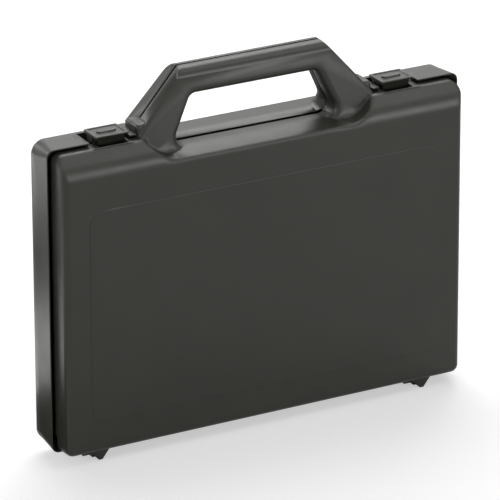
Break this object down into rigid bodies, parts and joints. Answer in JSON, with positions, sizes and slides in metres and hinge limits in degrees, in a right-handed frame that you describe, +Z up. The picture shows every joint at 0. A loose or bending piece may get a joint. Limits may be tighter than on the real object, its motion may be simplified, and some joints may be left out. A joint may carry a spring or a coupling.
{
  "type": "plastic carry case",
  "caption": "Upright moulded plastic carry case with two hinged shells, a handle moulded in two halves and flip latches.",
  "frame": {"origin": "on the ground, under the middle of the closed standing case", "axes": "+X to the right seen from the front, +Y from the front shell to the back shell, +Z up through the handle"},
  "size_m": [0.35, 0.045, 0.2932],
  "materials": {
    "shell_plastic": "fine grain",
    "latch_plastic": "smooth",
    "pin_steel": "drawn"
  },
  "bodies": {
    "back_shell": {"back_shell": "shell_plastic", "latch_pin_left": "pin_steel", "latch_pin_right": "pin_steel", "hinge_pin_left": "pin_steel", "hinge_pin_right": "pin_steel"},
    "front_shell": {"front_shell": "shell_plastic"},
    "latch_left": {"latch_left": "latch_plastic"},
    "latch_right": {"latch_right": "latch_plastic"}
  },
  "joints": [
    {"name": "lid_hinge", "type": "hinge", "parent": "back_shell", "child": "front_shell", "pos_m": [0, -0.005, 0.00375], "axis": [1, 0, 0], "range_deg": [0, 180]},
    {"name": "latch_left_hinge", "type": "hinge", "parent": "back_shell", "child": "latch_left", "pos_m": [-0.1214, 0.0105, 0.2486], "axis": [-1, 0, 0], "range_deg": [0, 90]},
    {"name": "latch_right_hinge", "type": "hinge", "parent": "back_shell", "child": "latch_right", "pos_m": [0.1214, 0.0105, 0.2486], "axis": [-1, 0, 0], "range_deg": [0, 90]}
  ]
}
